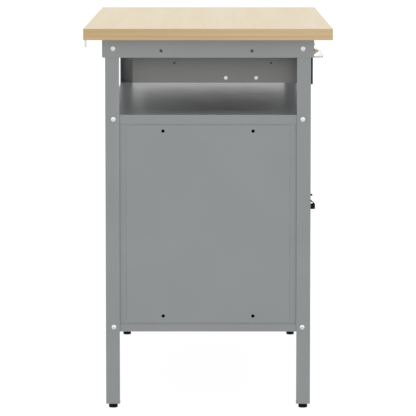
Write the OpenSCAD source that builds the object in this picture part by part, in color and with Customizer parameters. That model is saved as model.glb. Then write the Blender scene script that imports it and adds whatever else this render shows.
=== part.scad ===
// Steel workbench with a board worktop, two drawers under it, an open shelf and a two-door cabinet.
// +X runs along the bench, -Y is the front, +Z is up. The origin is on the floor, under the middle.

/* [Worktop] */
// Length of the worktop
top_len = 1200; // [1000:10:1600]
// Depth of the worktop
top_depth = 550; // [530:5:650]
// Thickness of the worktop board
top_thick = 25; // [18:1:40]
// Height of the working surface above the floor
bench_h = 850; // [820:5:920]

/* [Frame] */
// Overhang of the worktop past the legs at each end
end_overhang = 28; // [10:1:60]
// Depth of the frame over the outer faces of the legs
frame_depth = 456; // [440:2:500]
// Width of each flange of the angle legs
leg_w = 31; // [28:1:36]
// Steel thickness of the legs
leg_t = 2; // [1.5:0.5:3]
// Height of the rails under the worktop
rail_h = 40; // [36:1:45]
// How far the end rails stand past the legs at the front and back
rail_past = 6.5; // [6:0.5:8]
// Height of the plastic feet
foot_h = 10; // [8:1:20]
// Diameter of the plastic feet
foot_d = 20; // [16:1:26]

/* [Cabinet] */
// Height of the underside of the cabinet above the floor
cab_low = 173; // [120:1:220]
// Height of the open shelf, which is the top of the cabinet
cab_high = 658; // [600:1:670]
// Height of the folded edges of the cabinet's top and bottom trays
tray_h = 20; // [18:1:24]
// Thickness of the cabinet's sheet steel
sheet_t = 1.2; // [1:0.1:1.5]
// Height of the shelf inside the cabinet
shelf_z = 421; // [300:1:520]

/* [Drawers] */
// Height of the drawer fronts
front_h = 98; // [90:1:100]
// Depth of the folded drawer fronts and doors
pan_d = 18; // [16:1:20]
// Depth of a drawer's box, front to back
box_d = 360; // [300:5:370]
// Height of a drawer's box
box_h = 69; // [55:1:72]
// Room between a housing panel and the drawer's box, taken up by the runners
runner_gap = 12.7; // [12:0.1:14]
// How far a handle stands out from the drawer's front
handle_out = 31; // [24:1:34]
// Width of a handle
handle_w = 100; // [80:2:130]

/* [Hidden] */
$fn = 48;
eps = 0.01;
hair = 0.4; // clearance between pieces that slide or turn past each other

fx = top_len / 2 - end_overhang; // outer faces of the legs at the ends
fy = frame_depth / 2; // outer faces of the legs at the front and back
ix = fx - leg_t; // inner faces of the legs at the ends
iy = fy - leg_t; // inner faces of the legs at the front and back
top_low = bench_h - top_thick; // underside of the worktop

rail_t = 1.5;
rail_y = fy + rail_past;
rail_low = top_low - rail_h;
rail_bolt_z = rail_low + rail_h / 2;
flange_w = 30; // flanges that carry the worktop
rail_corner = 2.5;
rail_hole_r = 3.5;
rail_hole_z = rail_low + 15;
rail_holes = [104, -97]; // depth of the two cable tie holes in each end rail

bolt_y = 210;
bolt_r = 3;
bolt_hole_r = 3.2;
bolt_head_r = 5.5;
bolt_head_h = 3.2;
nut_r = 5.77;
nut_h = 5;
foot_in = leg_w / 2; // feet sit in the middle of the leg's corner
stem_r = 4;

cab_floor = cab_low + tray_h - 3.5; // top face of the bottom tray
cab_rim = cab_high - tray_h; // lower edge of the top tray
panel_lap = 3; // side panels run up behind the top tray's edge
field_y = 181.5; // half width of the pressed field in a side panel
field_t = 0.9;
field_gap = 3.5; // groove between the field and the trays' edges
side_hole_y = 100;
side_hole_r = 3.75;
side_holes_z = [cab_floor + 18.5, cab_rim - 16];
panel_x = ix - 2 * sheet_t; // inner faces of the side panels
back_y = iy - 2 * sheet_t; // inner face of the back panel
post_w = 30;
post_d = 15;

shelf_front = -190;
shelf_edge = 15;
support_y = 150;
support_l = 22;
support_h = 6;

door_face = -fy + 0.5; // front faces of the doors
door_back = door_face + pan_d;
door_edge = fx - leg_w - 2.5; // hinge edges of the doors
door_free = post_w / 2 + 2; // free edges of the doors
bracket_t = 2;
door_low = cab_floor + bracket_t + 1.5;
door_high = cab_rim - bracket_t - 1.5;
door_lip = 12;
pivot_x = door_edge - 9;
pivot_y = door_face + pan_d / 2;
pivot_r = 3;
pivot_clear = 0.05;
pivot_shoulder = 5;

latch_x = 40; // the latch is on the right-hand door
latch_z = 418;
latch_w = 12;
spindle_r = 4;
escutcheon_r = 11;
escutcheon_t = 2.5;
barrel_r = 8.8;
boss_r = 8;
cam_l = 35;
cam_w = 14;
cam_t = 2;
eye_r = 2.2; // eye for a padlock in the latch lever
eye_z = -19.2;
catch_x = -50; // the left-hand door has a magnetic catch
catch_w = 40;
catch_d = 14;
catch_h = 16;
catch_t = 3;
strike_w = 34;
strike_t = 1;
strike_gap = 0.9;

front_face = -fy - 5; // front faces of the drawer fronts
front_back = front_face + pan_d;
front_low = top_low - 3 - front_h;
front_gap = 1.5;
bay_x = fx - leg_w - 7; // outer faces of the drawer housing panels
house_t = 1.5;
house_low = front_low + 3;
house_front = front_back + 3;
house_back = 168;
lip_y = front_back + 1;
flange_low = top_low - rail_t; // underside of the flanges under the worktop
runner_h = 20;
runner_low = house_low + 1;
runner_z = runner_low + runner_h / 2;
runner_bolt_y = [-39.5, -107];
runner_rear = 158;
house_hole_y = [75, -140];
house_hole_z = house_low + 44;
house_hole_r = 2;
box_t = 1;
box_low = runner_low + 3;
bay_mid = (bay_x - front_gap) / 2 + 2; // middle of a drawer
handle_z = house_low + 44; // lower rim of the handles
handle_h = 19;
handle_t = 2;
handle_screw_x = 38;

screw_r = 2;
screw_head_r = 4;
screw_head_h = 2.2;
screw_in = 15;
screw_y = 160; // screws in the end rails
stud_x = top_len / 2 - 8;
stud_y = top_depth / 2 - 5;
stud_r = 2.2;
stud_drop = 16; // how far the studs hang below the worktop
stud_in = 10;
screw_x = 400; // screws in the back rail and front stretcher

paint = [0.57, 0.58, 0.59];
inside = [0.45, 0.45, 0.43];
black = [0.09, 0.09, 0.09];
zinc = [0.9, 0.9, 0.9];
wood = [0.85, 0.78, 0.66];

// Everything is drawn at the right-hand (+X) end. The left-hand pieces are its mirror image.
module left() {
  mirror([1, 0, 0]) children();
}

module front() {
  mirror([0, 1, 0]) children();
}

module block(low, high) {
  translate(low) cube(high - low);
}

// A bolt or rod along +X from x, at y and z.
module rod_x(x, y, z, r, length) {
  translate([x, y, z]) rotate([0, 90, 0]) cylinder(h = length, r = r);
}

// A rod along +Y from y, at x and z.
module rod_y(x, y, z, r, length) {
  translate([x, y, z]) rotate([-90, 0, 0]) cylinder(h = length, r = r);
}

module rod_z(x, y, z, r, length) {
  translate([x, y, z]) cylinder(h = length, r = r);
}

// ---- worktop ----

screw_spots = concat(
  [for (sx = [-1, 1], y = [-screw_y, 0, screw_y]) [sx * (fx - flange_w / 2), y]],
  [for (x = [-screw_x, 0, screw_x]) [x, iy - flange_w / 2]],
  [for (x = [-screw_x, -screw_x / 2, screw_x / 2, screw_x]) [x, lip_y + flange_w / 2]]
);

module worktop() {
  color(wood) difference() {
    block([-top_len / 2, -top_depth / 2, top_low], [top_len / 2, top_depth / 2, bench_h]);
    for (p = screw_spots) rod_z(p[0], p[1], top_low - 1, screw_r, screw_in + 1);
    for (s = [-1, 1]) rod_z(s * stud_x, stud_y, top_low - 1, stud_r, stud_in + 1);
  }
}

module worktop_screws() {
  color(zinc) for (p = screw_spots) {
    rod_z(p[0], p[1], flange_low, screw_r, screw_in + rail_t);
    rod_z(p[0], p[1], flange_low - screw_head_h, screw_head_r, screw_head_h);
  }
}

// Short studs under the worktop's rear corners, for a panel that stands behind the bench.
module rear_studs() {
  color(zinc) for (s = [-1, 1]) rod_z(s * stud_x, stud_y, top_low - stud_drop, stud_r, stud_drop + stud_in);
}

// ---- legs and feet ----

// An angle section with its outer corner at the origin and its flanges along -X and -Y.
module angle_2d(w, t, r) {
  difference() {
    union() {
      translate([-w, -w]) square([w, w - r]);
      translate([-w, -w]) square([w - r, w]);
      translate([-r, -r]) circle(r);
    }
    translate([-w - t, -w - t]) square(w);
  }
}

module leg() {
  color(paint) difference() {
    union() {
      translate([fx, fy, foot_h]) linear_extrude(flange_low - foot_h) angle_2d(leg_w, leg_t, leg_t);
      block([fx - leg_w, fy - leg_w, foot_h], [ix + eps, iy + eps, foot_h + leg_t]);
    }
    for (z = [rail_bolt_z, cab_rim + tray_h / 2, cab_low + tray_h / 2])
      rod_x(ix - 1, bolt_y, z, bolt_hole_r, leg_t + 2);
    rod_z(fx - foot_in, fy - foot_in, foot_h - 1, stem_r, leg_t + 2);
  }
}

module leg_back_right() { leg(); }
module leg_back_left() { left() leg(); }
module leg_front_right() { front() leg(); }
module leg_front_left() { left() front() leg(); }

module foot() {
  r = foot_d / 2;
  edge = 1.5;
  color(black) translate([fx - foot_in, fy - foot_in, 0]) {
    rotate_extrude() polygon([
      [0, 0], [r - edge, 0], [r - edge * 0.3, edge * 0.3], [r, edge],
      [r, foot_h - 1], [r - 1, foot_h], [0, foot_h]
    ]);
    cylinder(h = foot_h + leg_t + 8, r = stem_r);
  }
}

module foot_back_right() { foot(); }
module foot_back_left() { left() foot(); }
module foot_front_right() { front() foot(); }
module foot_front_left() { left() front() foot(); }

// ---- rails under the worktop ----

// The outline of an end rail's face, seen from the end, with its lower corners rounded.
module rail_face_2d() {
  r = rail_corner;
  translate([-rail_y, r]) square([2 * rail_y, rail_h - r]);
  translate([-rail_y + r, 0]) square([2 * (rail_y - r), rail_h]);
  for (s = [-1, 1]) translate([s * (rail_y - r), r]) circle(r);
}

module end_rail() {
  color(paint) difference() {
    union() {
      translate([fx, 0, rail_low]) rotate([90, 0, 90]) linear_extrude(rail_t) rail_face_2d();
      for (s = [-1, 1])
        block([fx - leg_w, min(s * rail_y, s * (rail_y - rail_t)), rail_low + rail_corner],
              [fx + eps, max(s * rail_y, s * (rail_y - rail_t)), top_low]);
      block([fx - flange_w, -rail_y, flange_low], [fx + eps, rail_y, top_low]);
    }
    for (s = [-1, 1]) rod_x(fx - 1, s * bolt_y, rail_bolt_z, bolt_hole_r, rail_t + 2);
    for (y = rail_holes) rod_x(fx - 1, y, rail_hole_z, rail_hole_r, rail_t + 2);
    for (y = [-screw_y, 0, screw_y])
      rod_z(fx - flange_w / 2, y, flange_low - 1, screw_r, rail_t + 2);
  }
}

module end_rail_right() { end_rail(); }
module end_rail_left() { left() end_rail(); }

module back_rail() {
  reach = fx - flange_w - 0.5;
  color(paint) difference() {
    union() {
      block([-ix, iy - rail_t, rail_low], [ix, iy, flange_low]);
      block([-reach, iy - flange_w, flange_low], [reach, iy, top_low]);
    }
    for (x = [-screw_x, 0, screw_x])
      rod_z(x, iy - flange_w / 2, flange_low - 1, screw_r, rail_t + 2);
  }
}

module front_stretcher() {
  reach = fx - flange_w - 0.5;
  lip_h = 19;
  color(paint) difference() {
    union() {
      block([-reach, lip_y, flange_low], [reach, lip_y + flange_w, top_low]);
      block([-reach, lip_y, top_low - lip_h], [reach, lip_y + rail_t, top_low]);
    }
    for (x = [-screw_x, -screw_x / 2, screw_x / 2, screw_x])
      rod_z(x, lip_y + flange_w / 2, flange_low - 1, screw_r, rail_t + 2);
  }
}

// ---- bolts and nuts that join the legs to the rails and trays ----

// A low domed head with a cross recess, its flat face at x = 0 and its dome towards +X.
module dome_head(r, h) {
  rim = 0.5;
  rise = h - rim;
  ball = (r * r + rise * rise) / (2 * rise);
  edge = asin(r / ball);
  bands = 5;
  slot = r * 0.9;
  difference() {
    rotate([0, 90, 0]) rotate_extrude() polygon(concat(
      [[0, 0], [r, 0]],
      [for (i = [0:bands]) let (a = edge * (1 - i / bands)) [ball * sin(a), h - ball + ball * cos(a)]]
    ));
    for (a = [0, 90])
      rotate([a, 0, 0]) translate([h * 0.55, -slot / 2, -r * 0.09]) cube([h, slot, r * 0.18]);
  }
}

// The face that each bolt's head sits on, its height, and where its nut starts.
bolt_rows = [
  [fx + rail_t, rail_bolt_z, ix],
  [fx, cab_rim + tray_h / 2, ix - sheet_t],
  [fx, cab_low + tray_h / 2, ix - sheet_t]
];

module frame_bolts() {
  color(zinc) for (s = [-1, 1], b = bolt_rows) {
    translate([b[0], s * bolt_y, b[1]]) dome_head(bolt_head_r, bolt_head_h);
    rod_x(b[2] - nut_h - 2, s * bolt_y, b[1], bolt_r, b[0] - b[2] + nut_h + 2 + eps);
  }
}

module frame_nuts() {
  color(zinc) for (s = [-1, 1], b = bolt_rows)
    difference() {
      translate([b[2] - nut_h, s * bolt_y, b[1]]) rotate([30, 0, 0]) rotate([0, 90, 0])
        cylinder(h = nut_h, r = nut_r, $fn = 6);
      rod_x(b[2] - nut_h - 1, s * bolt_y, b[1], bolt_r, nut_h + 2);
    }
}

module frame_bolts_right() { frame_bolts(); }
module frame_bolts_left() { left() frame_bolts(); }
module frame_nuts_right() { frame_nuts(); }
module frame_nuts_left() { left() frame_nuts(); }

// ---- cabinet ----

// A sheet with its four edges folded down, its top face at z and its edges down to z - h.
module folded_tray(z, h) {
  difference() {
    block([-ix, -iy, z - h], [ix, iy, z]);
    block([-ix + sheet_t, -iy + sheet_t, z - h - 1], [ix - sheet_t, iy - sheet_t, z - sheet_t]);
    for (sx = [-1, 1], sy = [-1, 1])
      rod_x(sx * ix - 2, sy * bolt_y, z - h + tray_h / 2, bolt_hole_r, 4);
  }
}

module cabinet_top() {
  color(paint) folded_tray(cab_high, tray_h);
}

module cabinet_bottom() {
  color(paint) folded_tray(cab_floor, cab_floor - cab_low);
}

module side_panel() {
  color(paint) difference() {
    union() {
      block([panel_x, -iy + sheet_t, cab_floor], [panel_x + sheet_t, iy - 2 * sheet_t, cab_rim + panel_lap]);
      block([panel_x + sheet_t - eps, -field_y, cab_floor + field_gap],
            [panel_x + sheet_t + field_t, field_y, cab_rim - field_gap]);
    }
    for (s = [-1, 1], z = side_holes_z)
      rod_x(panel_x - 1, s * side_hole_y, z, side_hole_r, sheet_t + field_t + 2);
  }
}

module side_panel_right() { side_panel(); }
module side_panel_left() { left() side_panel(); }

module back_panel() {
  color(paint) block([-ix + sheet_t, back_y, cab_floor], [ix - sheet_t, back_y + sheet_t, cab_high - sheet_t]);
}

module centre_post() {
  color(paint) difference() {
    block([-post_w / 2, -iy + sheet_t, cab_floor], [post_w / 2, -iy + post_d, cab_high - sheet_t]);
    block([-post_w / 2 + rail_t, -iy + sheet_t + rail_t, cab_floor - 1],
          [post_w / 2 - rail_t, -iy + post_d + 1, cab_high]);
  }
}

module inner_shelf() {
  side = panel_x - 1.5;
  back = back_y - 1.5;
  color(paint) difference() {
    block([-side, shelf_front, shelf_z - shelf_edge], [side, back, shelf_z]);
    block([-side + sheet_t, shelf_front + sheet_t, shelf_z - shelf_edge - 1],
          [side - sheet_t, back - sheet_t, shelf_z - sheet_t]);
  }
}

module shelf_supports() {
  color(zinc) for (sx = [0, 1], y = [-support_y, support_y])
    mirror([sx, 0, 0]) {
      low = shelf_z - shelf_edge - support_h;
      block([panel_x - support_l, y - 10, low + support_h - 1.5], [panel_x, y + 10, low + support_h]);
      block([panel_x - 1.5, y - 10, low - 12], [panel_x, y + 10, low + support_h]);
    }
}

// The tongues that the door's pivots turn in.
module pivot_brackets() {
  color(zinc) for (z = [cab_floor, cab_rim - bracket_t])
    difference() {
      block([pivot_x - 9.5, -iy + 1.5, z], [panel_x, pivot_y + 12.5, z + bracket_t]);
      rod_z(pivot_x, pivot_y, z - 1, pivot_r + pivot_clear, bracket_t + 2);
    }
}

module pivot_brackets_right() { pivot_brackets(); }
module pivot_brackets_left() { left() pivot_brackets(); }

// ---- doors ----

module door() {
  color(paint) difference() {
    block([door_free, door_face, door_low], [door_edge, door_back, door_high]);
    block([door_free + sheet_t, door_face + sheet_t, door_low + sheet_t],
          [door_edge - sheet_t, door_back - sheet_t, door_high - sheet_t]);
    block([door_free + door_lip, door_face + pan_d / 2, door_low + door_lip],
          [door_edge - door_lip, door_back + 1, door_high - door_lip]);
    rod_z(pivot_x, pivot_y, door_low - 1, pivot_r, sheet_t + 1.5);
    rod_z(pivot_x, pivot_y, door_high - sheet_t - 0.5, pivot_r, sheet_t + 1.5);
  }
}

module door_pivots() {
  shoulder_h = 6;
  color(zinc) {
    rod_z(pivot_x, pivot_y, cab_floor + 0.3, pivot_r, door_low + sheet_t - cab_floor);
    rod_z(pivot_x, pivot_y, door_low + sheet_t, pivot_shoulder, shoulder_h);
    rod_z(pivot_x, pivot_y, door_high - sheet_t - 0.5, pivot_r, cab_rim + 2.5 - door_high + sheet_t);
    rod_z(pivot_x, pivot_y, door_high - sheet_t - shoulder_h, pivot_shoulder, shoulder_h);
  }
}

module door_right() {
  difference() {
    door();
    rod_y(latch_x, door_face - 1, latch_z, barrel_r + 0.2, 4);
  }
}

module door_left() { left() door(); }
module door_pivots_right() { door_pivots(); }
module door_pivots_left() { left() door_pivots(); }

// ---- catch of the left-hand door ----

// A steel plate on the back of the door, which the magnet holds.
module door_strike() {
  color(zinc) block([catch_x - strike_w / 2, door_back, door_high - door_lip + 1],
                    [catch_x + strike_w / 2, door_back + strike_t, door_high - 1]);
}

// The magnet's housing, which hangs from the underside of the top tray.
module door_catch() {
  top = cab_high - sheet_t;
  head = door_high + 2.5;
  y = door_back + strike_t + strike_gap;
  x0 = catch_x - catch_w / 2;
  x1 = catch_x + catch_w / 2;
  color(black) {
    block([x0, y, head - catch_h], [x1, y + catch_d, head]);
    block([x0, y + catch_d - catch_t, head - eps], [x1, y + catch_d, top]);
    block([x0, y + catch_d - eps, top - catch_t], [x1, y + 2 * catch_d + catch_t, top]);
  }
}

// ---- latch of the right-hand door ----

module latch_housing() {
  color(black) difference() {
    union() {
      rod_y(latch_x, door_face - escutcheon_t, latch_z, escutcheon_r, escutcheon_t);
      rod_y(latch_x, door_face - eps, latch_z, barrel_r, pan_d - 2.5);
    }
    rod_y(latch_x, door_face - escutcheon_t - 1, latch_z, spindle_r + 0.05, pan_d + 4);
  }
}

// The lever's side outline. The first value is the distance out from the door's face, the second
// the height above the spindle: a neck that leaves the boss, swings out and ends in a finger grip.
neck_in = 3.4;
neck_out = 19.5;
neck_low = -8;
grip_out = 31.1;
grip_in = 13;
grip_top = -24;
grip_low = -34;
lever_2d = concat(
  [[neck_in, 7], [neck_out, 7]],
  [for (t = [0:0.1:1])
    [neck_out + (grip_out - neck_out) * (1 - cos(180 * t)) / 2, neck_low + (grip_top - neck_low) * t]],
  [[grip_out, grip_low + 1.5], [grip_out - 1.5, grip_low], [grip_in, grip_low], [neck_in, -12]]
);

module latch_lever() {
  eye_out = [18.8, 23.8];
  color(black) {
    difference() {
      union() {
        translate([latch_x - latch_w / 2, door_face, latch_z])
          rotate([90, 0, 90]) linear_extrude(latch_w) polygon([for (p = lever_2d) [-p[0], p[1]]]);
        rod_y(latch_x, door_face - neck_out, latch_z, boss_r, neck_out - neck_in + 0.4);
      }
      for (out = eye_out) rod_x(latch_x - latch_w, door_face - out, latch_z + eye_z, eye_r, 2 * latch_w);
      block([latch_x - latch_w, door_face - eye_out[1], latch_z + eye_z - eye_r],
            [latch_x + latch_w, door_face - eye_out[0], latch_z + eye_z + eye_r]);
      rod_y(latch_x, door_face - neck_out - 1, latch_z, 1.5, 9);
    }
    rod_y(latch_x, door_face - neck_in - 1, latch_z, spindle_r, pan_d + neck_in + 6);
  }
}

module latch_screw() {
  head = 5.3;
  color(black) {
    rod_y(latch_x, door_face - neck_out - head, latch_z, 2.5, head);
    rod_y(latch_x, door_face - neck_out - eps, latch_z, 1.5, 8);
  }
}

module latch_cam() {
  y = door_back + 2.5;
  color(zinc) difference() {
    union() {
      rod_y(latch_x, y, latch_z, cam_w / 2, cam_t);
      block([latch_x - cam_w / 2, y, latch_z], [latch_x + cam_w / 2, y + cam_t, latch_z + cam_l]);
    }
    rod_y(latch_x, y - 1, latch_z, spindle_r, cam_t + 2);
  }
}

// ---- drawer housing ----

module housing_panel() {
  color(inside) difference() {
    union() {
      block([bay_x - house_t, house_front, house_low], [bay_x, house_back, flange_low]);
      block([bay_x - 20, lip_y + flange_w + 1, flange_low], [bay_x, house_back, top_low]);
    }
    for (y = runner_bolt_y) rod_x(bay_x - house_t - 1, y, runner_z, 2.5, house_t + 2);
    for (y = house_hole_y) rod_x(bay_x - house_t - 1, y, house_hole_z, house_hole_r, house_t + 2);
  }
}

module housing_panel_right() { housing_panel(); }
module housing_panel_left() { left() housing_panel(); }

module housing_panel_centre() {
  color(inside) difference() {
    union() {
      block([-house_t / 2, house_front, house_low], [house_t / 2, house_back, flange_low]);
      block([-post_w / 2, lip_y + flange_w + 1, flange_low], [post_w / 2, house_back, top_low]);
    }
    for (y = runner_bolt_y) rod_x(-house_t / 2 - 1, y, runner_z, 2.5, house_t + 2);
  }
}

module housing_back() {
  color(inside) block([-bay_x, house_back, rail_low], [bay_x, house_back + rail_t, flange_low]);
}

// A channel along Y with its web at x = 0 and its flanges towards +X.
module channel(x, y0, y1, z0, w, h, t) {
  difference() {
    block([x, y0, z0], [x + w, y1, z0 + h]);
    block([x + t, y0 - 1, z0 + t], [x + w + 1, y1 + 1, z0 + h - t]);
  }
}

// The two fixed runners of the right-hand drawer: one on the centre panel, one on the end panel.
module fixed_runners() {
  inner_x = house_t / 2;
  outer_x = bay_x - house_t;
  color(zinc) difference() {
    union() {
      channel(inner_x, house_front, runner_rear, runner_low, runner_gap - 0.7, runner_h, sheet_t);
      translate([outer_x, 0, 0]) left()
        channel(0, house_front, runner_rear, runner_low, runner_gap - 0.7, runner_h, sheet_t);
    }
    for (y = runner_bolt_y) {
      rod_x(inner_x - 1, y, runner_z, 2.5, sheet_t + 2);
      rod_x(outer_x - sheet_t - 1, y, runner_z, 2.5, sheet_t + 2);
    }
  }
}

module fixed_runners_right() { fixed_runners(); }
module fixed_runners_left() { left() fixed_runners(); }

module runner_bolts() {
  through = house_t + sheet_t;
  color(zinc) for (y = runner_bolt_y) {
    for (s = [0, 1]) mirror([s, 0, 0]) {
      translate([bay_x, y, runner_z]) dome_head(4.4, 2.4);
      rod_x(bay_x - through, y, runner_z, 2.5, through + eps);
    }
    rod_x(-house_t / 2 - sheet_t, y, runner_z, 2.5, house_t + 2 * sheet_t);
  }
}

// ---- drawers ----

module drawer_front() {
  color(black) difference() {
    block([front_gap, front_face, front_low], [fx - leg_w - front_gap, front_back, front_low + front_h]);
    block([front_gap + sheet_t, front_face + sheet_t, front_low + sheet_t],
          [fx - leg_w - front_gap - sheet_t, front_back + 1, front_low + front_h - sheet_t]);
    for (s = [-1, 1])
      rod_y(bay_mid + s * handle_screw_x, front_face - 1, handle_z + handle_h / 2, 2, sheet_t + 2);
  }
}

box_left = house_t / 2 + runner_gap;
box_right = bay_x - house_t - runner_gap;

module drawer_box() {
  color(inside) difference() {
    block([box_left, front_back, box_low], [box_right, front_back + box_d, box_low + box_h]);
    block([box_left + box_t, front_back + box_t, box_low + box_t],
          [box_right - box_t, front_back + box_d - box_t, box_low + box_h + 1]);
  }
}

module drawer_runners() {
  w = runner_gap - 3.5;
  low = runner_low + sheet_t + hair;
  h = runner_h - 2 * (sheet_t + hair);
  rear = front_back + box_d - 2;
  color(zinc) {
    translate([box_left, 0, 0]) left() channel(0, house_front, rear, low, w, h, sheet_t);
    channel(box_right, house_front, rear, low, w, h, sheet_t);
  }
}

// A cup handle's outline, seen from the side, with its lower rim at z = 0 and its back at y = 0.
function cup_2d(out, high) = [for (a = [0:7.5:90]) [-out * pow(cos(a), 0.75), high * pow(sin(a), 0.62)]];

module cup(out, high, wide) {
  translate([-wide / 2, 0, 0]) rotate([90, 0, 90])
    linear_extrude(wide) polygon(concat([[0, 0]], cup_2d(out, high)));
}

module handle() {
  hollow = handle_out - handle_t;
  color(zinc) translate([bay_mid, front_face, handle_z]) difference() {
    cup(handle_out, handle_h, handle_w);
    translate([0, -1.6, -1]) cup(hollow - 1.6, handle_h - handle_t + 1, handle_w - 2 * handle_t);
    for (s = [-1, 1]) rod_y(s * handle_screw_x, -2.6, handle_h / 2, 2, 3.6);
  }
}

module handle_screws() {
  color(zinc) for (s = [-1, 1]) {
    x = bay_mid + s * handle_screw_x;
    rod_y(x, front_face - 1.6, handle_z + handle_h / 2, 2, sheet_t + 1.6 + eps);
    rod_y(x, front_face + sheet_t, handle_z + handle_h / 2, 4, 2.5);
  }
}

module drawer_front_right() { drawer_front(); }
module drawer_front_left() { left() drawer_front(); }
module drawer_box_right() { drawer_box(); }
module drawer_box_left() { left() drawer_box(); }
module drawer_runners_right() { drawer_runners(); }
module drawer_runners_left() { left() drawer_runners(); }
module handle_right() { handle(); }
module handle_left() { left() handle(); }
module handle_screws_right() { handle_screws(); }
module handle_screws_left() { left() handle_screws(); }

worktop();
worktop_screws();
rear_studs();
leg_front_left();
leg_front_right();
leg_back_left();
leg_back_right();
foot_front_left();
foot_front_right();
foot_back_left();
foot_back_right();
end_rail_left();
end_rail_right();
back_rail();
front_stretcher();
frame_bolts_left();
frame_bolts_right();
frame_nuts_left();
frame_nuts_right();
cabinet_top();
cabinet_bottom();
side_panel_left();
side_panel_right();
back_panel();
centre_post();
inner_shelf();
shelf_supports();
pivot_brackets_left();
pivot_brackets_right();
housing_panel_left();
housing_panel_centre();
housing_panel_right();
housing_back();
fixed_runners_left();
fixed_runners_right();
runner_bolts();
drawer_front_left();
drawer_box_left();
drawer_runners_left();
handle_left();
handle_screws_left();
drawer_front_right();
drawer_box_right();
drawer_runners_right();
handle_right();
handle_screws_right();
door_left();
door_pivots_left();
door_strike();
door_catch();
door_right();
door_pivots_right();
latch_housing();
latch_lever();
latch_screw();
latch_cam();
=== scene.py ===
"""Finishes, fine metalware, light and camera for the workbench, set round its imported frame."""
import math

import bmesh
import bpy
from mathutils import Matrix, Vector


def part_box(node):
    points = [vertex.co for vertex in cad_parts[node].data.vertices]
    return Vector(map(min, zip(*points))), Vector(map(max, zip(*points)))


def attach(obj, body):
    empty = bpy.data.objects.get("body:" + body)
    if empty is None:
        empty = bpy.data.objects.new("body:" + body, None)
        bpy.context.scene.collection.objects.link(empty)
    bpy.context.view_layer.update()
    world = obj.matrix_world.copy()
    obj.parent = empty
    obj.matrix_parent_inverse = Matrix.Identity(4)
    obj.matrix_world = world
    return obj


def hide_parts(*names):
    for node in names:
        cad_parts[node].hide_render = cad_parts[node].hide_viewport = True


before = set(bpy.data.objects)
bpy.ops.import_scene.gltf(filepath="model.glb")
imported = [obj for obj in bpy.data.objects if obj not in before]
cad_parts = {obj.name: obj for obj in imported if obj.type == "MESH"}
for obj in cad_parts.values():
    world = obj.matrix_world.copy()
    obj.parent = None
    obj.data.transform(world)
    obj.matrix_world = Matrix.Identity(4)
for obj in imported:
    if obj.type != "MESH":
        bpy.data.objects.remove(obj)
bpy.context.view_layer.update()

SIDES = ("left", "right")


# ---- shader helpers ----

COMMON = (0.3, 0.7)               # most of a noise's values lie between these two
MIX_SHARE, MIX_A, MIX_B = 0, 6, 7  # a colour mix node's inputs
MIX_RESULT = 2                    # and its output
EDGE_SAMPLES = 4
EDGE_BEND = (0.99, 0.86)          # cosines of the bend at which an edge starts to show and shows fully


class Pattern:
    """Noise in a finish: how large it is, how much of it shows and how far it stands out in relief."""

    def __init__(self, per_metre, detail, stretch=(1, 1, 1), shows=COMMON, most=1.0,
                 strength=0.0, height=0.0):
        self.per_metre = per_metre
        self.detail = detail
        self.stretch = stretch
        self.shows = shows
        self.most = most
        self.strength = strength
        self.height = height


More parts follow.
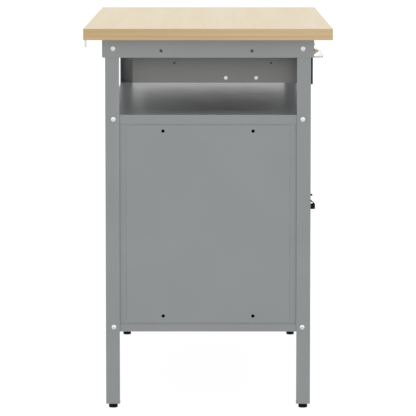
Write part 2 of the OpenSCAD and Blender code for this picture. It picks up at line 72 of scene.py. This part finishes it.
class Finish:
    """A material's node tree, with short calls for the nodes that the finishes share."""

    def __init__(self, name, **surface):
        self.material = bpy.data.materials.new(name)
        self.material.use_nodes = True
        self.tree = self.material.node_tree
        self.tree.nodes.clear()
        self.surface = self.add("ShaderNodeBsdfPrincipled")
        self.tree.links.new(self.surface.outputs[0], self.add("ShaderNodeOutputMaterial").inputs[0])
        self.place = self.add("ShaderNodeTexCoord").outputs["Object"]
        for socket, value in surface.items():
            self.surface.inputs[self.label(socket)].default_value = value

    @staticmethod
    def label(socket):
        """The shader's own name for a socket, from its name in this script."""
        return socket.replace("_", " ").title().replace("Ior", "IOR")

    def feed(self, socket, value):
        """Links another node's output to a socket, or sets the socket to a plain value."""
        if isinstance(value, bpy.types.NodeSocket):
            self.tree.links.new(value, socket)
        else:
            socket.default_value = value

    def add(self, kind, inputs=None, **settings):
        made = self.tree.nodes.new(kind)
        for name, value in settings.items():
            setattr(made, name, value)
        for socket, value in (inputs or {}).items():
            self.feed(made.inputs[socket], value)
        return made

    def noise(self, pattern):
        """A pattern's noise. Its features are about 1 / per_metre long, and longer where stretch is small."""
        scaled = self.add("ShaderNodeMapping", {"Vector": self.place, "Scale": pattern.stretch})
        sockets = {"Vector": scaled.outputs[0], "Scale": pattern.per_metre, "Detail": pattern.detail}
        return self.add("ShaderNodeTexNoise", sockets).outputs["Fac"]

    def remap(self, value, span, target=(0.0, 1.0)):
        """The value moved from one range to another, and held inside it."""
        sockets = {"Value": value, "From Min": span[0], "From Max": span[1]}
        sockets.update({"To Min": target[0], "To Max": target[1]})
        return self.add("ShaderNodeMapRange", sockets).outputs["Result"]

    def share(self, pattern, noise=None):
        """How much of a pattern shows, from its noise, which is made here if there is none yet."""
        if noise is None:
            noise = self.noise(pattern)
        return self.remap(noise, pattern.shows, (0.0, pattern.most))

    def calculate(self, operation, a, b=0.0):
        return self.add("ShaderNodeMath", {0: a, 1: b}, operation=operation).outputs[0]

    def mix(self, share, a, b):
        made = self.add("ShaderNodeMix", {MIX_SHARE: share, MIX_A: a, MIX_B: b}, data_type="RGBA")
        return made.outputs[MIX_RESULT]

    def edge(self, radius):
        """1 along edges and corners, 0 on flat faces."""
        rounded = self.add("ShaderNodeBevel", {"Radius": radius}, samples=EDGE_SAMPLES)
        flat = self.add("ShaderNodeNewGeometry").outputs["Normal"]
        dot = self.add("ShaderNodeVectorMath", {0: rounded.outputs[0], 1: flat}, operation="DOT_PRODUCT")
        return self.remap(dot.outputs["Value"], EDGE_BEND)

    def bump(self, *layers):
        """Gives the surface relief. Layers are (noise, its pattern), from the coarsest to the finest."""
        normal = None
        for noise, pattern in layers:
            sockets = {"Height": noise, "Strength": pattern.strength, "Distance": pattern.height}
            if normal is not None:
                sockets["Normal"] = normal
            normal = self.add("ShaderNodeBump", sockets).outputs[0]
        self.tree.links.new(normal, self.surface.inputs["Normal"])

    def set(self, **values):
        for socket, value in values.items():
            self.tree.links.new(value, self.surface.inputs[self.label(socket)])
        return self.material


def tinted(colour, share=1.0):
    """A colour made lighter or darker by that share, with its alpha."""
    return (*[min(1.0, c * share) for c in colour], 1.0)


# ---- powder coat ----

COAT_CLOUDS = Pattern(7, 3.0)
COAT_SPECKS = Pattern(1600, 2.0, shows=(0.4, 0.75), most=0.35, strength=0.1, height=0.00004)
COAT_PEEL = Pattern(420, 2.0, strength=0.25, height=0.00012)
COAT_SHEEN = Pattern(25, 4.0)
SHEEN_SPREAD = 0.02
SPECK_SPREADS = 3
COAT_EDGE = 0.0012
WORN_TINT = 1.5


def powder_coat(name, colour, rough, spread=0.03, worn=0.48, shine=0.5):
    """Sprayed steel: a fine orange peel, faint clouds in the tone and a thinner coat along the edges."""
    coat = Finish(name, specular_ior_level=shine)
    specks = coat.noise(COAT_SPECKS)
    tone = coat.mix(coat.share(COAT_CLOUDS), tinted(colour, 1 - spread), tinted(colour, 1 + spread))
    tone = coat.mix(coat.share(COAT_SPECKS, specks), tone, tinted(colour, 1 + SPECK_SPREADS * spread))
    patches = Pattern(60, 4.0, shows=(0.42, 0.62), most=worn)
    wear = coat.calculate("MULTIPLY", coat.edge(COAT_EDGE), coat.share(patches))
    tone = coat.mix(wear, tone, tinted(colour, WORN_TINT))
    coat.bump((coat.noise(COAT_PEEL), COAT_PEEL), (specks, COAT_SPECKS))
    sheen = coat.remap(coat.noise(COAT_SHEEN), COMMON, (rough - SHEEN_SPREAD, rough + SHEEN_SPREAD))
    return coat.set(base_color=tone, roughness=sheen)


# ---- plating ----

PLATE_CLOUDS = Pattern(90, 3.0, shows=(0.35, 0.7))
PLATE_TINTS = (0.97, 1.03)
PLATE_HAZE = (0.8, 1.1)
LINE_HAZE = 0.06


def plated(name, colour, rough, stretch=(1, 1, 1), scratch=0.05, metal=1.0):
    """Plated steel: a mirror dulled by fine streaks and cloudy patches. Less metal makes a whiter plate."""
    plate = Finish(name, metallic=metal)
    lines = Pattern(900, 2.0, stretch, strength=scratch, height=0.00003)
    streaks = plate.noise(lines)
    clouds = plate.noise(PLATE_CLOUDS)
    darker, lighter = [tinted(colour, tint) for tint in PLATE_TINTS]
    tone = plate.mix(plate.share(PLATE_CLOUDS, clouds), darker, lighter)
    plate.bump((streaks, lines))
    haze = plate.remap(clouds, COMMON, [rough * part for part in PLATE_HAZE])
    haze = plate.calculate("ADD", haze, plate.remap(streaks, COMMON, (0.0, LINE_HAZE)))
    return plate.set(base_color=tone, roughness=haze)


# ---- moulded plastic ----

MOULD_GRAIN = Pattern(1300, 3.0, strength=0.3, height=0.00006)
MOULD_CLOUDS = Pattern(40, 3.0, shows=(0.35, 0.7))
MOULD_RUBBING = Pattern(150, 3.0)
MOULD_TINTS = (0.85, 1.2)
MOULD_EDGE = 0.0008
MOULD_SHINE = 0.2
GRAIN_SPREAD = 0.06
RUBBED_TINT = 2.4


def moulded(name, colour, rough):
    """Moulded plastic: a fine even grain, paler where it's rubbed along its edges."""
    plastic = Finish(name, specular_ior_level=MOULD_SHINE)
    grain = plastic.noise(MOULD_GRAIN)
    darker, lighter = [tinted(colour, tint) for tint in MOULD_TINTS]
    tone = plastic.mix(plastic.share(MOULD_CLOUDS), darker, lighter)
    rubbed = plastic.calculate("MULTIPLY", plastic.edge(MOULD_EDGE), plastic.noise(MOULD_RUBBING))
    tone = plastic.mix(rubbed, tone, tinted(colour, RUBBED_TINT))
    plastic.bump((grain, MOULD_GRAIN))
    sheen = plastic.remap(grain, COMMON, (rough - GRAIN_SPREAD, rough + GRAIN_SPREAD))
    return plastic.set(base_color=tone, roughness=sheen)


# ---- the worktop's board ----

FACE = (0.755, 0.640, 0.445)
FACE_WARM = (0.750, 0.622, 0.415)
FACE_PALE = (0.762, 0.660, 0.478)
STREAK_BROWN = (0.70, 0.560, 0.350)
PORE_BROWN = (0.56, 0.42, 0.24)
BAND = (0.530, 0.378, 0.196)
BAND_DARK = (0.476, 0.320, 0.148)
BAND_PALE = (0.560, 0.424, 0.246)
# Painted shade: the backing layer under the worktop is near black to stand in for the shade there, which the
# cup handles reflect.
SHADE_BACKING = (0.034, 0.026, 0.017)

STAVES = Pattern(1.0, 1.0, (0.5, 13, 0.01), shows=(0.40, 0.60))
FIGURE = Pattern(1.0, 5.0, (1.1, 26, 26), most=0.7)
STREAKS = Pattern(1.0, 4.0, (2.5, 150, 150), shows=(0.50, 0.72), most=0.30, strength=0.12, height=0.0001)
PORES = Pattern(1.0, 2.0, (28, 1100, 1100), shows=(0.58, 0.74), most=0.55, strength=0.25, height=0.00008)
BAND_LAYERS = Pattern(1.0, 4.0, (1.6, 1.6, 170), shows=(0.35, 0.65))
BAND_LINES = Pattern(1.0, 3.0, (7, 7, 900), shows=(0.35, 0.65), most=0.45)
SHADE_BACKING_SPECKS = Pattern(300, 4.0)
SHADE_BACKING_TINTS = (0.7, 1.4)

FACE_SLOPE = (0.45, 0.6)          # the normal's Z where the edge band ends and where the face is whole
SHADE_BACKED_X = 0.566                  # how far the near-black backing, painted shade under the worktop, reaches to each side
SHADE_BACKED_FRONT = -0.252             # the Y where the painted shade backing begins
SHADE_BACKED_FADE = 0.001
BOARD_ROUGH = (0.44, 0.54)


def board():
    """A board with pale veneer on top, its grain along the bench, a browner edge band and a backing layer
    underneath, painted near black as shade.
    """
    wood = Finish("worktop_veneer")
    figure = wood.noise(FIGURE)
    streaks = wood.noise(STREAKS)
    pores = wood.noise(PORES)
    face = wood.mix(wood.share(STAVES), tinted(FACE_WARM), tinted(FACE_PALE))
    face = wood.mix(wood.share(FIGURE, figure), face, tinted(FACE))
    face = wood.mix(wood.share(STREAKS, streaks), face, tinted(STREAK_BROWN))
    face = wood.mix(wood.share(PORES, pores), face, tinted(PORE_BROWN))

    band = wood.mix(wood.share(BAND_LAYERS), tinted(BAND_DARK), tinted(BAND_PALE))
    band = wood.mix(wood.share(BAND_LINES), band, tinted(BAND))
    # the backing's near-black tone is painted shade under the worktop
    darker, lighter = [tinted(SHADE_BACKING, tint) for tint in SHADE_BACKING_TINTS]
    shade_backing = wood.mix(wood.noise(SHADE_BACKING_SPECKS), darker, lighter)

    normal = wood.add("ShaderNodeNewGeometry").outputs["Normal"]
    slope = wood.add("ShaderNodeSeparateXYZ", {0: normal}).outputs["Z"]
    above = wood.remap(slope, FACE_SLOPE)
    under = wood.remap(slope, [-edge for edge in FACE_SLOPE])
    at = wood.add("ShaderNodeSeparateXYZ", {0: wood.place}).outputs
    between = wood.remap(wood.calculate("ABSOLUTE", at["X"]), (SHADE_BACKED_X, SHADE_BACKED_X - SHADE_BACKED_FADE))
    behind = wood.remap(at["Y"], (SHADE_BACKED_FRONT, SHADE_BACKED_FRONT + SHADE_BACKED_FADE))
    shade_backed = wood.calculate("MULTIPLY", under, wood.calculate("MULTIPLY", between, behind))

    tone = wood.mix(above, band, face)
    tone = wood.mix(under, tone, face)
    tone = wood.mix(shade_backed, tone, shade_backing)
    wood.bump((streaks, STREAKS), (pores, PORES))
    return wood.set(base_color=tone, roughness=wood.remap(figure, COMMON, BOARD_ROUGH))


# ---- the CAD nodes' finishes and edges ----

GREY = (0.252, 0.263, 0.267)
# Painted shade: the inner steel is the same grey paint made darker and warmer, standing in for the shade and
# the wood's warm bounce under the worktop.
SHADED_INNER_GREY = (0.176, 0.177, 0.171)
BLACK = (0.004, 0.004, 0.0045)
ZINC = (0.93, 0.93, 0.93)
CHROME = (0.90, 0.91, 0.92)

FINISHES = {
    "worktop_board": board(),
    "grey_paint": powder_coat("grey_powder_coat", GREY, rough=0.33),
    # the inner coat's darker, warmer grey is painted shade
    "inner_steel": powder_coat("inner_coat_painted_shade", SHADED_INNER_GREY, rough=0.5),
    "black_paint": powder_coat("black_powder_coat", BLACK, rough=0.45, spread=0.08, worn=0.2, shine=0.15),
    "zinc": plated("zinc_plate", ZINC, rough=0.3, metal=0.45),
    "chrome": plated("polished_chrome", CHROME, rough=0.07, stretch=(1, 12, 12), scratch=0.01),
    "black_plastic": moulded("black_moulding", BLACK, rough=0.42),
}

EDGE_RADII = {
    "worktop_board": 0.0015,
    "grey_paint": 0.0005,
    "inner_steel": 0.0004,
    "black_paint": 0.0005,
    "zinc": 0.0003,
    "chrome": 0.0004,
    "black_plastic": 0.0006,
}

WELD = 2e-6
FLAT_ANGLE = math.radians(0.5)    # faces that meet at less than this are one flat face
EDGE_ANGLE = math.radians(35)     # edges that bend more than this are rounded


def round_edges(thing, width, segments=2):
    bevel = thing.modifiers.new("rounded edges", "BEVEL")
    bevel.width = width
    bevel.segments = segments
    bevel.limit_method = "ANGLE"
    bevel.angle_limit = EDGE_ANGLE


def merge_flat_faces(thing):
    """Makes each flat face one polygon, so that rounding its edges keeps it flat."""
    weld = thing.modifiers.new("weld", "WELD")
    weld.merge_threshold = WELD
    merge = thing.modifiers.new("flat faces", "DECIMATE")
    merge.decimate_type = "DISSOLVE"
    merge.angle_limit = FLAT_ANGLE


def dress_cad_nodes():
    """Gives every CAD node the finish of its slot, and rounded edges that leave its own mesh as it is."""
    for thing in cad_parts.values():
        slot = thing.data.materials[0].name
        thing.data.materials[0] = FINISHES[slot]
        merge_flat_faces(thing)
        round_edges(thing, EDGE_RADII[slot])


dress_cad_nodes()


# ---- mesh helpers ----

def arc(low, high, steps):
    """Evenly spaced values from low to high, both included."""
    return [low + (high - low) * i / steps for i in range(steps + 1)]


def strip(mesh, a, b, closed=False):
    """Adds faces between two rows of vertices. A closed strip also joins the rows' ends."""
    count = len(a)
    for i in range(count if closed else count - 1):
        j = (i + 1) % count
        mesh.faces.new((a[i], a[j], b[j], b[i]))


def skin(mesh, rows):
    """Adds a skin of faces through rows of points and returns the rows of vertices."""
    made = [[mesh.verts.new(point) for point in row] for row in rows]
    for a, b in zip(made, made[1:]):
        strip(mesh, a, b)
    return made


def tube(mesh, path, radius, sides=10):
    """Adds a closed round bar that follows a path of points."""
    rings = []
    for i, point in enumerate(path):
        ahead = (path[min(i + 1, len(path) - 1)] - path[max(i - 1, 0)]).normalized()
        across = ahead.cross(Vector((0, 0, 1))).normalized()
        upward = across.cross(ahead)
        turns = arc(0, 2 * math.pi, sides)[:-1]
        ring = [point + radius * (math.cos(turn) * across + math.sin(turn) * upward) for turn in turns]
        rings.append([mesh.verts.new(corner) for corner in ring])
    for a, b in zip(rings, rings[1:]):
        strip(mesh, a, b, closed=True)
    mesh.faces.new(rings[0])
    mesh.faces.new(rings[-1])


def finish_mesh(mesh, name, slot, body, merge=1e-6, sharp=40):
    """Turns a bmesh into a piece that rides on a body. Edges that bend over sharp degrees stay crisp."""
    bmesh.ops.remove_doubles(mesh, verts=mesh.verts, dist=merge)
    bmesh.ops.recalc_face_normals(mesh, faces=mesh.faces)
    data = bpy.data.meshes.new(name)
    mesh.to_mesh(data)
    mesh.free()
    data.shade_smooth()
    data.set_sharp_from_angle(angle=math.radians(sharp))
    data.materials.append(FINISHES[slot])
    piece = bpy.data.objects.new(name, data)
    bpy.context.scene.collection.objects.link(piece)
    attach(piece, body)
    return piece


# ---- cup handles ----

CUP_WALL = 0.002
CUP_END = 0.017                   # length of each rounded end
CUP_END_CURVE = 2.5               # 2 is an ellipse and more is squarer
CUP_CROWDING = 0.8                # how closely the rows gather at the tips
CUP_FRONT_CURVE = 0.75
CUP_TOP_CURVE = 0.62
CUP_END_STEPS = 14
CUP_MIDDLE_STEPS = 8
CUP_ROW_STEPS = 20
CUP_PLATE = 0.0016
CUP_BEAD = 0.0012
POST_AT = 0.038
POST_RADIUS = 0.0035
POST_LENGTH = 0.008
POST_SIDES = 20


class Cup:
    """The room that a cup fills: its length's middle, its back and its rim, and how far it goes from them."""

    def __init__(self, middle, back, rim, half, out, high):
        self.middle = middle
        self.back = back
        self.rim = rim
        self.half = half
        self.out = out
        self.high = high

    def inside(self, wall):
        return Cup(self.middle, self.back, self.rim, self.half - wall, self.out - wall, self.high - wall)

    def rows(self):
        """Rows of points on the dome, from one end to the other. Each row goes from the rim up to the top."""
        straight = self.half - CUP_END
        ends = [math.sin(turn) ** CUP_CROWDING for turn in arc(0, math.pi / 2, CUP_END_STEPS)]
        places = [-straight - CUP_END * end for end in reversed(ends)]
        places += arc(-straight, straight, CUP_MIDDLE_STEPS)[1:-1]
        places += [straight + CUP_END * end for end in ends]
        return [self.row(place, max(0.0, (abs(place) - straight) / CUP_END)) for place in places]

    def row(self, place, end):
        """One row. The end is 0 on the straight part and 1 at a tip."""
        size = max(0.0, 1 - end ** CUP_END_CURVE) ** (1 / CUP_END_CURVE)
        points = []
        for turn in arc(0, math.pi / 2, CUP_ROW_STEPS):
            y = self.back - self.out * size * max(0.0, math.cos(turn)) ** CUP_FRONT_CURVE
            z = self.rim + self.high * size * math.sin(turn) ** CUP_TOP_CURVE
            points.append((self.middle + place, y, z))
        return points


def cup_shell(mesh, cup):
    """Adds the dome with its wall, open underneath, and returns the rows of its outer vertices."""
    outer = skin(mesh, cup.rows())
    inner = skin(mesh, cup.inside(CUP_WALL).rows())
    for end in (0, -1):
        strip(mesh, [row[end] for row in outer], [row[end] for row in inner])
        strip(mesh, outer[end], inner[end])
    return outer


def cup_bead(mesh, cup, rim):
    """Adds a bead along the rim, inside the cup's length and depth."""
    inward = 1 - CUP_BEAD / cup.half
    path = []
    for vert in rim:
        x = cup.middle + (vert.co.x - cup.middle) * inward
        y = min(cup.back - CUP_BEAD, vert.co.y + CUP_BEAD)
        path.append(Vector((x, y, cup.rim + CUP_BEAD)))
    tube(mesh, path, CUP_BEAD)


def cup_plate(mesh, cup, top):
    """Adds a flat plate behind the dome, with the dome's own outline."""
    corners = [(vert.co.x, vert.co.z) for vert in top]
    corners += [(cup.middle + cup.half, cup.rim), (cup.middle - cup.half, cup.rim)]
    back = [mesh.verts.new((x, cup.back, z)) for x, z in corners]
    front = [mesh.verts.new((x, cup.back - CUP_PLATE, z)) for x, z in corners]
    mesh.faces.new(back)
    mesh.faces.new(front)
    strip(mesh, back, front, closed=True)


def cup_posts(mesh, cup):
    """Adds the two posts that take the handle's screws."""
    for way in (-1, 1):
        foot = Vector((cup.middle + way * POST_AT, cup.back - CUP_PLATE / 2, cup.rim + cup.high / 2))
        tube(mesh, [foot, foot - Vector((0, POST_LENGTH, 0))], POST_RADIUS, POST_SIDES)


def cup_handle(side):
    """A cup pull: a domed shell open underneath, a bead round its rim, a back plate and two screw posts."""
    low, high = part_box(f"handle_{side}")
    middle = (low.x + high.x) / 2
    cup = Cup(middle, high.y, low.z, (high.x - low.x) / 2, high.y - low.y, high.z - low.z)
    mesh = bmesh.new()
    outer = cup_shell(mesh, cup)
    cup_bead(mesh, cup, [row[0] for row in outer])
    cup_plate(mesh, cup, [row[-1] for row in outer])
    cup_posts(mesh, cup)
    piece = finish_mesh(mesh, f"cup_handle_{side}", "chrome", f"{side}_drawer", merge=1e-7)
    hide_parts(f"handle_{side}")


# ---- latch lever ----

LEVER_HUB = 0.0165                # height of the hub, which isn't flared
LEVER_FLARE = 0.3
LEVER_ROUNDING = 0.0011


def latch_lever():
    """The moulded lever: the same outline from the side, flared towards its grip and softly rounded."""
    box_low, box_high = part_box("latch_lever")
    middle = (box_low.x + box_high.x) / 2
    fold = box_high.z - LEVER_HUB
    mesh = bmesh.new()
    mesh.from_mesh(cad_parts["latch_lever"].data)
    bmesh.ops.remove_doubles(mesh, verts=mesh.verts, dist=WELD)
    bmesh.ops.dissolve_limit(mesh, angle_limit=FLAT_ANGLE, verts=mesh.verts, edges=mesh.edges)
    everything = mesh.verts[:] + mesh.edges[:] + mesh.faces[:]
    bmesh.ops.bisect_plane(mesh, geom=everything, plane_co=(0, 0, fold), plane_no=(0, 0, 1))
    for vert in mesh.verts:
        drop = max(0.0, fold - vert.co.z) / (fold - box_low.z)
        vert.co.x = middle + (vert.co.x - middle) * (1 + LEVER_FLARE * drop)
    piece = finish_mesh(mesh, "moulded_lever", "black_plastic", "latch", sharp=30)
    round_edges(piece, LEVER_ROUNDING, segments=3)
    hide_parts("latch_lever")


for side in SIDES:
    cup_handle(side)
latch_lever()


# ---- floor, light and camera ----

FLOOR_HALF = 40.0
MIRRORED_AT = -0.002

LAMP_AT = Vector((-3.4, -1.8, 2.6))
LAMP_AIM = Vector((0, 0, 0.5))
LAMP_SIZE = 2.5
LAMP_POWER = 8

EYE_BEYOND = 6.66                 # from the worktop's left-hand end
EYE_ASIDE = -0.009
EYE_ABOVE = 0.3114                # from the worktop's face
EYE_PITCH = math.radians(6.066)
EYE_YAW = math.radians(0.078)
LENS = 261.8
SENSOR = 36
CLIP_END = 200


def floor_sheet(name, height, tone, glow):
    """A wide level sheet that glows by itself, so that it looks the same far away as near."""
    mesh = bpy.data.meshes.new(name)
    corners = [(x * FLOOR_HALF, y * FLOOR_HALF, height) for x, y in ((-1, -1), (1, -1), (1, 1), (-1, 1))]
    mesh.from_pydata(corners, [], [(0, 1, 2, 3)])
    paper = Finish(name, base_color=(tone, tone, tone, 1), roughness=0.9, specular_ior_level=0.0,
                   emission_color=(1, 1, 1, 1), emission_strength=glow)
    mesh.materials.append(paper.material)
    sheet = bpy.data.objects.new(name, mesh)
    bpy.context.scene.collection.objects.link(sheet)
    return sheet


def add_floor():
    """A white floor, and a darker one just under it that shows only in reflections, for contrast."""
    floor = floor_sheet("pale_floor", height=0.0, tone=0.16, glow=0.92)
    floor.visible_glossy = False
    mirrored = floor_sheet("mirrored_floor", height=MIRRORED_AT, tone=0.12, glow=0.10)
    mirrored.visible_camera = False
    mirrored.visible_diffuse = False


def aim(thing, at, direction):
    """Puts a lamp or a camera in its place and turns it to face that way."""
    thing.location = at
    thing.rotation_mode = "QUATERNION"
    thing.rotation_quaternion = direction.to_track_quat("-Z", "Y")
    bpy.context.scene.collection.objects.link(thing)


def add_light():
    """A white surround, and a weak softbox to the front left."""
    world = bpy.data.worlds.new("studio")
    world.use_nodes = True
    background = world.node_tree.nodes["Background"]
    background.inputs["Color"].default_value = (1, 1, 1, 1)
    background.inputs["Strength"].default_value = 1.0
    bpy.context.scene.world = world
    softbox = bpy.data.lights.new("softbox", "AREA")
    softbox.shape = "SQUARE"
    softbox.size = LAMP_SIZE
    softbox.energy = LAMP_POWER
    aim(bpy.data.objects.new("softbox", softbox), LAMP_AT, LAMP_AIM - LAMP_AT)


def add_camera():
    """A long lens that looks along the bench at its left-hand end, from a little above the worktop."""
    worktop_low, worktop_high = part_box("worktop")
    eye = Vector((worktop_low.x - EYE_BEYOND, EYE_ASIDE, worktop_high.z + EYE_ABOVE))
    level = math.cos(EYE_PITCH)
    ahead = Vector((level * math.cos(EYE_YAW), level * math.sin(EYE_YAW), -math.sin(EYE_PITCH)))
    camera = bpy.data.cameras.new("camera")
    camera.sensor_width = SENSOR
    camera.lens = LENS
    camera.clip_end = CLIP_END
    holder = bpy.data.objects.new("camera", camera)
    aim(holder, eye, ahead)
    bpy.context.scene.camera = holder


add_floor()
add_light()
add_camera()
bpy.context.scene.view_settings.view_transform = "Standard"
